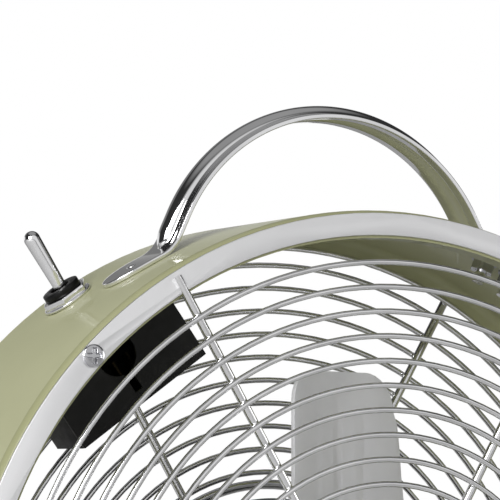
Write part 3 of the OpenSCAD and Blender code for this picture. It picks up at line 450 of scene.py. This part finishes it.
def handle_path():
    """Points of the strip's outer face on its middle line, from the top to the right tip: place,
    outward normal, and distance back from the tip."""
    top = Vector((0, DRUM_R + BOW_H - BOW_R))
    along = Vector((math.cos(BOW_HALF), -math.sin(BOW_HALF)))
    out = Vector((math.sin(BOW_HALF), math.cos(BOW_HALF)))
    start = top + out * BOW_R
    # the leg runs on until the bend's circle meets the leaf's
    q = start + out * BEND_R
    b = q.dot(along)
    leg = -b - math.sqrt(b * b - q.length_squared + (PAD_TOP + BEND_R) ** 2)
    bend = q + along * leg
    rows = []
    for k in range(BOW_STEPS + 1):
        a = BOW_HALF * k / BOW_STEPS
        n = Vector((math.sin(a), math.cos(a)))
        rows.append((top + n * BOW_R, n))
    for k in range(1, LEG_STEPS):
        rows.append((start + along * leg * k / LEG_STEPS, out))
    from_a, to_a = math.atan2(out.y, out.x), math.atan2(bend.y, bend.x)
    for k in range(BEND_STEPS + 1):
        n = ray(from_a + (to_a - from_a) * k / BEND_STEPS)
        rows.append((bend - n * BEND_R, n))
    for k in range(1, PAD_STEPS + 1):
        n = ray(to_a + (PAD_TIP - to_a) * math.sin(math.pi / 2 * k / PAD_STEPS))
        rows.append((n * PAD_TOP, n))
    back = [0.0]
    for (p0, _), (p1, _) in zip(rows[:0:-1], rows[-2::-1]):
        back.append(back[-1] + (p1 - p0).length)
    return [(p, n, d) for (p, n), d in zip(rows, back[::-1])]


def ridge(u, radius, foot, drop):
    """Height of the ridge's face over the flange at a place across: a crest arc of one radius and
    a hollow foot of another, both about centres that the two faces of the strip share."""
    a = abs(u)
    if a >= REACH:
        return 0.0
    if a < radius * REACH / (RIDGE_R + RIDGE_FOOT):
        return LIFT + math.sqrt(radius ** 2 - a * a) + drop
    return drop + RIDGE_FOOT - math.sqrt(foot ** 2 - (REACH - a) ** 2)


def across():
    """Places across the whole strip, closer together at its edges and over its ridge."""
    half = STRIP_W / 2
    root = RIDGE_R * REACH / (RIDGE_R + RIDGE_FOOT)
    top = math.asin(root / RIDGE_R)
    us = [half - EDGE * share for share in EDGE_SHARES]
    us += [half - EDGE + (REACH - half + EDGE) * k / FLAT_STEPS for k in range(1, FLAT_STEPS + 1)]
    us += [REACH + (root - REACH) * k / FOOT_STEPS for k in range(1, FOOT_STEPS + 1)]
    us += [RIDGE_R * math.sin(top * (1 - k / CREST_STEPS)) for k in range(1, CREST_STEPS)]
    return [-u for u in us] + [0.0] + us[::-1]


def half_width(s):
    """Half the strip's width at a share of the leaf's length from its root."""
    if s <= 0:
        return STRIP_W / 2
    if s < PAD_STRAIGHT:
        widened = math.sin(math.pi / 2 * s / PAD_STRAIGHT)
        return (STRIP_W + (PAD_W - STRIP_W) * widened) / 2
    past = (s - PAD_STRAIGHT) / (1 - PAD_STRAIGHT)
    return PAD_W / 2 * math.sqrt(max(TIP_LEAST ** 2, 1 - past ** 2))


def rounding(u, half, s):
    """How far the strip's edge is rounded off at a place across and along it."""
    inside = half - abs(u)
    if s > PAD_STRAIGHT:
        tip_a, tip_b = (1 - PAD_STRAIGHT) * PAD_LEN, PAD_W / 2
        v = (s - PAD_STRAIGHT) / (1 - PAD_STRAIGHT)
        f = math.sqrt(v * v + (u / tip_b) ** 2)
        slope = math.sqrt((v / tip_a) ** 2 + (u / tip_b ** 2) ** 2) / max(f, TINY)
        inside = max(0.0, 1 - f) / max(slope, TINY)
    k = max(0.0, 1 - inside / EDGE)
    return EDGE * (1 - math.sqrt(max(0.0, 1 - k * k)))


def section(us, s, back):
    """The strip's outline across, as places and heights, at a share of the leaf's length from
    its root, which is a distance back from the tip."""
    half = half_width(s)
    x = min(1.0, max(0.0, (back - PAD_LEN - RIDGE_GAP) / RIDGE_RUN_IN))
    grown = math.sqrt(1 - (1 - x) ** 2)
    top, under = [], []
    for u in (u0 * half * 2 / STRIP_W for u0 in us):
        off = rounding(u, half, s)
        up = low = 0.0
        if grown > RIDGE_LEAST:
            up = grown * ridge(u / grown, RIDGE_R, RIDGE_FOOT, 0)
            low = grown * ridge(u / grown, RIDGE_R - STRIP_T, RIDGE_FOOT + STRIP_T, STRIP_T)
        top.append((u, up - off))
        under.append((u, low - STRIP_T + off))
    return top + under[::-1]


def on_leaf(side, share, radius):
    """A place on a leaf's middle line at a radius, as a matrix whose Z points outwards."""
    a = ROOT_A - share * PAD_LEN / PAD_TOP
    a = (a if side > 0 else math.pi - a) + HANDLE_TURN
    n = Vector((math.cos(a), 0, math.sin(a)))
    at = Matrix.Translation(fan(n.x * radius, HANDLE_Y, n.z * radius))
    return at @ n.to_track_quat("Z", "Y").to_matrix().to_4x4()


def build_handle():
    us = across()
    cos_t, sin_t = math.cos(HANDLE_TURN), math.sin(HANDLE_TURN)
    bm = bmesh.new()
    rings = []
    path = handle_path()
    for side, (p, n, back) in [(-1, row) for row in path[:0:-1]] + [(1, row) for row in path]:
        ring = []
        for u, h in section(us, 1 - back / PAD_LEN, back):
            x, z = side * (p.x + n.x * h), p.y + n.y * h
            at = fan(x * cos_t - z * sin_t, HANDLE_Y + u, x * sin_t + z * cos_t)
            ring.append(bm.verts.new(at))
        rings.append(ring)
    for a, b in zip(rings, rings[1:]):
        bridge(bm, a, b)
    bm.faces.new(rings[0][::-1])
    bm.faces.new(rings[-1])
    low, high = DRUM_R - STUD_LEN, DRUM_R + STUD_IN
    for side in (1, -1):
        for share in STUD_SHARES:
            bmesh.ops.create_cone(bm, cap_ends=True, segments=STUD_SEGS, radius1=STUD_R * MM,
                                  radius2=STUD_R * MM, depth=(high - low) * MM,
                                  matrix=on_leaf(side, share, (low + high) / 2))
        dot = on_leaf(side, PEEN_SHARE, PAD_TOP) @ Matrix.Diagonal((*PEEN_SIZE, 1))
        bmesh.ops.create_uvsphere(bm, u_segments=PEEN_SEGS, v_segments=PEEN_RINGS, radius=MM,
                                  matrix=dot)
    obj = pressed("handle_pressed", bm, CHROME)
    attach(obj, nodes["handle"]["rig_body"])
    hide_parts("handle")


build_handle()


# Trim ring screws: low domed heads with a crossed slot, on the ring's front face

# How many, how far from the fan axis, and the first one's angle from level
SCREW_N, SCREW_AT, SCREW_TURN = 4, 136.55, math.radians(46.2)
# The head: radius, height in its middle and at its rim, and divisions out from it and round it
SCREW_R, HEAD_H, HEAD_RIM = 3.4, 1.25, 0.55
HEAD_RINGS, HEAD_SEGS = 44, 128
# The cross: half an arm's width, how far an arm reaches, depth, and width of its sloping wall
SLOT_HALF, SLOT_REACH, SLOT_DEPTH, SLOT_SLOPE = 0.8, 2.45, 0.95, 0.4
# The shank: radius, length, and chamfer at its end
SHANK_R, SHANK_LEN, SHANK_CHAMFER = 1.75, 9.0, 0.5
# The rows of points under the head: radius, and height over the trim ring's face
SHANK_ROWS = ((SCREW_R, 0.0), (SHANK_R, 0.0), (SHANK_R, SHANK_CHAMFER - SHANK_LEN),
              (SHANK_R - SHANK_CHAMFER, -SHANK_LEN))


def head_height(u, v):
    """Height of a screw head's face over its seat at a place on it."""
    dome = math.sqrt(max(0.0, 1 - (math.hypot(u, v) / SCREW_R) ** 2))
    h = HEAD_RIM + (HEAD_H - HEAD_RIM) * dome

    def arm(a, b):
        """How far inside one arm of the cross the place lies."""
        return min(SLOT_HALF - abs(b), SLOT_REACH - abs(a))

    x = min(1.0, max(0.0, max(arm(u, v), arm(v, u)) / SLOT_SLOPE))
    # the wall goes down in an S from the face to the floor of the cross
    return h - SLOT_DEPTH * x * x * (3 - 2 * x)


def circle(radius):
    """Places round a screw at a radius from its middle."""
    turns = (2 * math.pi * j / HEAD_SEGS for j in range(HEAD_SEGS))
    return [(radius * math.cos(t), radius * math.sin(t)) for t in turns]


def build_screws():
    bm = bmesh.new()
    for k in range(SCREW_N):
        a = SCREW_TURN + 2 * math.pi / SCREW_N * k
        cx, cz = SCREW_AT * math.cos(a), SCREW_AT * math.sin(a)

        def at(u, v, h):
            return bm.verts.new(fan(cx + u, -h, cz + v))

        top = at(0, 0, head_height(0, 0))
        rows = []
        for i in range(1, HEAD_RINGS + 1):
            rim = circle(SCREW_R * i / HEAD_RINGS)
            rows.append([at(u, v, head_height(u, v)) for u, v in rim])
        for radius, h in SHANK_ROWS:
            rows.append([at(u, v, h) for u, v in circle(radius)])
        for j, vert in enumerate(rows[0]):
            bm.faces.new((top, vert, rows[0][(j + 1) % HEAD_SEGS]))
        for row, below in zip(rows, rows[1:]):
            bridge(bm, row, below)
        bm.faces.new(rows[-1][::-1])
    obj = pressed("trim_screws_pressed", bm, SCREW_PLATE)
    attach(obj, nodes["trim_screws"]["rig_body"])
    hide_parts("trim_screws")


build_screws()


# Floor

FLOOR_SIZE, FLOOR_DARK, FLOOR_LIGHT = 8.0, (218, 218, 218), (225, 225, 225)

floor_material, floor_shader = new_material("floor", roughness=0.9)
colour_from(floor_material, floor_shader, noise(floor_material, scale=3, detail=2),
            FLOOR_DARK, FLOOR_LIGHT)
far = FLOOR_SIZE / 2
floor_mesh = bpy.data.meshes.new("floor")
floor_mesh.from_pydata([(-far, -far, 0), (far, -far, 0), (far, far, 0), (-far, far, 0)],
                       [], [(0, 1, 2, 3)])
floor_mesh.materials.append(floor_material)
new_object("floor", floor_mesh)


# World: white where the camera looks, and for the metal to mirror a studio of bright and dark
# bands. A band is the direction's component at its dark end, the same at its bright end, and
# its level.

FRONT = (-0.45, -0.75, 0.74)         # a softbox in front, along Y
FLOOR_GLOW = (0.02, -0.15, 0.4)      # light off the floor, along Z
CEILING = (0.72, 0.92, 0.3)          # along Z
BACK_EDGE = (0.55, 0.8)              # the edge of a backdrop behind, along Y
BACK_LOW = (0.34, 0.2, 0.66)         # its lower part, which is brighter, along Z
BACK_ALL = 0.2                       # the level of the rest of it
SIDE = (0.6, 0.85, 0.75)             # a low panel on the right, along X
SIDE_TOP = (0.3, 0.14, 1.0)          # and how it ends upwards, along Z
DARK = 0.03

world = bpy.data.worlds.new("studio")
scene.world = world
world.use_nodes = True
world.node_tree.nodes.clear()


def band(source, low, high, level):
    """A value that rises smoothly from 0 to a level as the source goes from low to high."""
    n = add(world, "ShaderNodeMapRange", interpolation_type="SMOOTHSTEP")
    rising = low <= high
    put(n, {"From Min": low if rising else high, "From Max": high if rising else low,
            "To Min": 0 if rising else level, "To Max": level if rising else 0})
    link(world, source, n.inputs["Value"])
    return n.outputs["Result"]


def combine(kind, first, *rest):
    """Values and node outputs put together one after the other by a math operation."""
    for value in rest:
        n = add(world, "ShaderNodeMath", operation=kind)
        for k, v in enumerate((first, value)):
            if isinstance(v, float):
                n.inputs[k].default_value = v
            else:
                link(world, v, n.inputs[k])
        first = n.outputs["Value"]
    return first


w_out = add(world, "ShaderNodeOutputWorld")
w_mix = add(world, "ShaderNodeMixShader")
w_seen = add(world, "ShaderNodeBackground")
w_studio = add(world, "ShaderNodeBackground")
w_path = add(world, "ShaderNodeLightPath")
put(w_seen, {"Color": (1, 1, 1, 1), "Strength": 1.0})
put(w_studio, {"Strength": 1.0})
w_way = add(world, "ShaderNodeTexCoord")
w_parts = add(world, "ShaderNodeSeparateXYZ")
link(world, w_way.outputs["Generated"], w_parts.inputs["Vector"])
dx, dy, dz = (w_parts.outputs[c] for c in "XYZ")

side = combine("MULTIPLY", band(dx, *SIDE), band(dz, *SIDE_TOP))
back_low = combine("MULTIPLY", band(dy, *BACK_EDGE, 1.0), band(dz, *BACK_LOW))
back = combine("ADD", back_low, band(dy, *BACK_EDGE, BACK_ALL))
studio = combine("MAXIMUM", band(dy, *FRONT), band(dz, *FLOOR_GLOW), side, band(dz, *CEILING),
                 back, DARK)
link(world, studio, w_studio.inputs["Color"])
link(world, w_path.outputs["Is Camera Ray"], w_mix.inputs["Fac"])
link(world, w_studio.outputs["Background"], w_mix.inputs[1])
link(world, w_seen.outputs["Background"], w_mix.inputs[2])
link(world, w_mix.outputs["Shader"], w_out.inputs["Surface"])


# Lamps: where each stands from the fan's middle and its sides, in metres, and its power in watts

MIDDLE_Y = 40                        # the middle's depth, in millimetres
LAMPS = (
    ("key", (-1.6, -1.2, 0.8), (1.3, 1.3), 44),
    ("fill", (2.0, -0.85, 0.2), (1.0, 1.0), 8),
)

middle = fan(0, MIDDLE_Y, 0)
for name, away, sides, power in LAMPS:
    data = bpy.data.lights.new(name, "AREA")
    data.shape = "RECTANGLE"
    data.size, data.size_y = sides
    data.energy = power
    at = middle + Vector(away)
    lamp = new_object(name, data)
    lamp.location = at
    lamp.rotation_euler = (middle - at).to_track_quat("-Z", "Y").to_euler()
